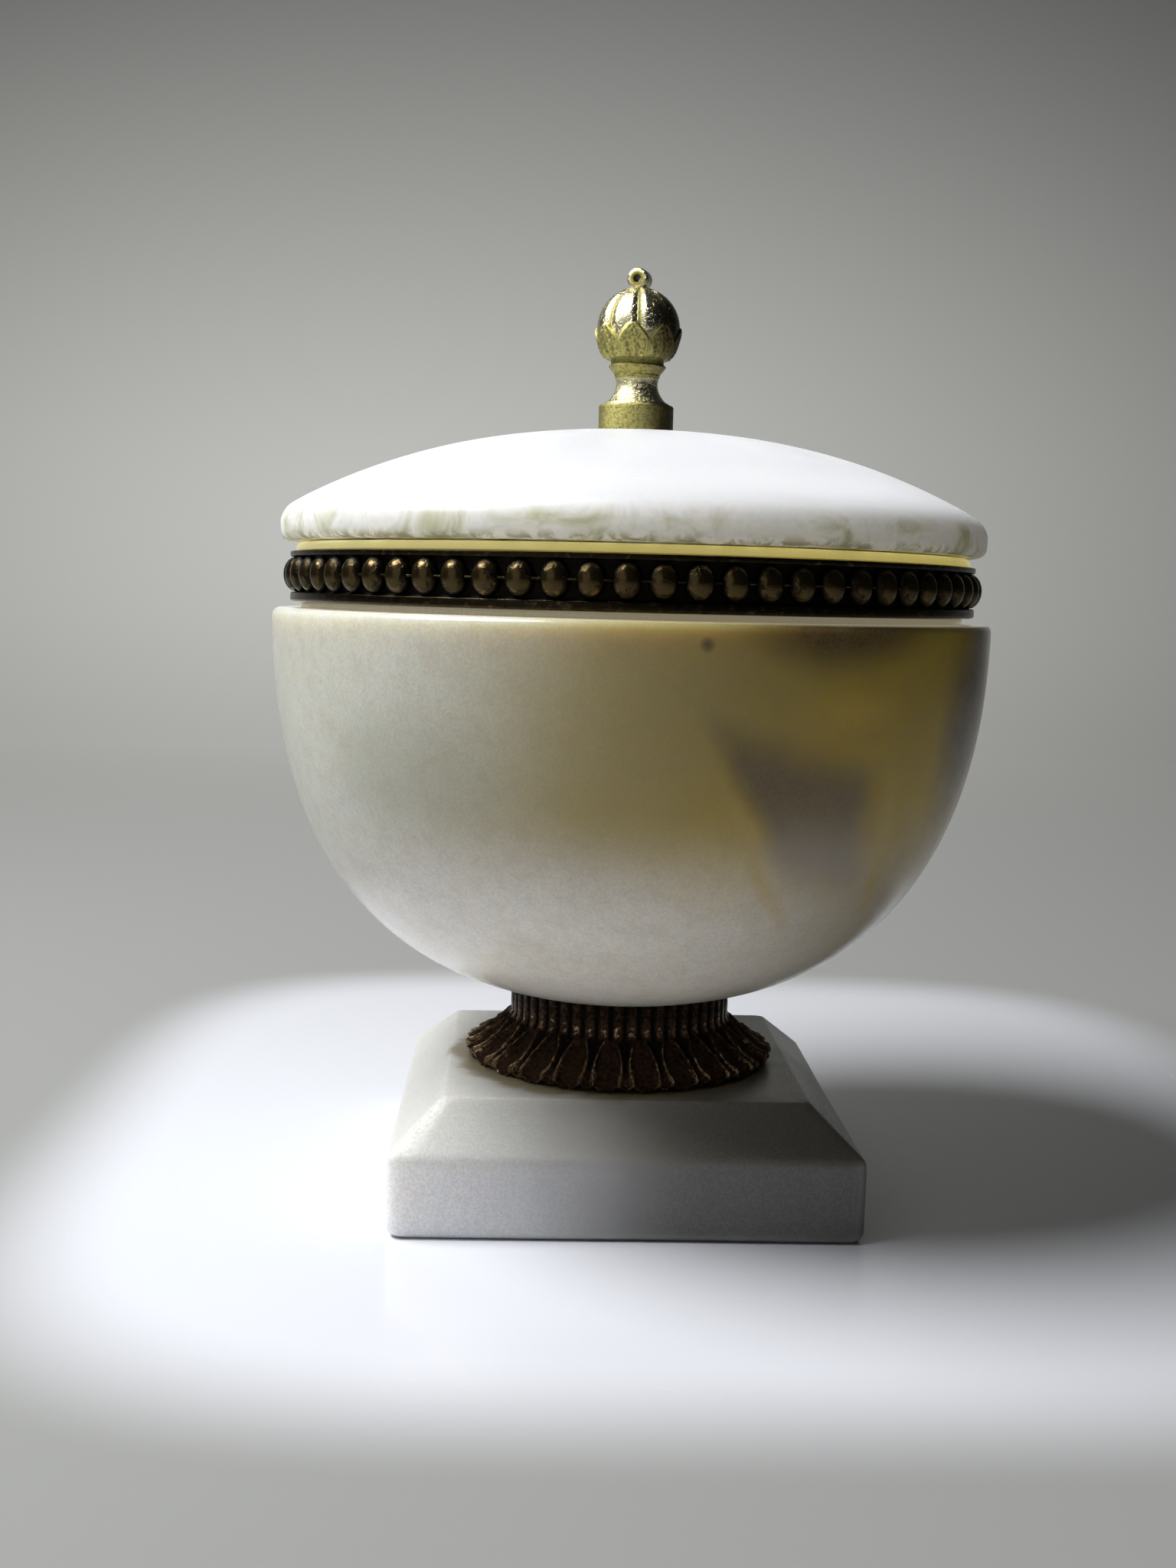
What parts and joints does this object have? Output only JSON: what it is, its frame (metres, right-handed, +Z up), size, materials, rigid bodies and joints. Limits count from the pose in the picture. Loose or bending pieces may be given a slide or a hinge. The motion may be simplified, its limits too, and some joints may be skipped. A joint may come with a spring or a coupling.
{
  "type": "alabaster bonbonniere",
  "caption": "Lidded round bowl of alabaster with a beaded brass band and leafed ball finial, on a cast leaf collar and a square sloped plinth.",
  "frame": {"origin": "middle of the plinth's flat underside, on the axis of the bowl", "axes": "+Z up along the axis of the bowl, -Y towards the front face of the plinth"},
  "size_m": [0.15, 0.15, 0.1925],
  "materials": {
    "plinth_alabaster": "polished alabaster, worn and slightly soiled at the edges",
    "bowl_alabaster": "polished translucent alabaster, cream and grey with amber clouds",
    "lid_alabaster": "polished white alabaster with grey veins",
    "dark_brass": "cast brass, dark brown patina",
    "band_brass": "stamped brass, dark patina with rubbed golden highlights",
    "bright_brass": "cast and turned brass, polished"
  },
  "bodies": {
    "root": {"plinth": "plinth_alabaster", "foot": "dark_brass", "bowl": "bowl_alabaster", "band": "band_brass", "lid": "lid_alabaster", "finial": "bright_brass"}
  },
  "joints": []
}
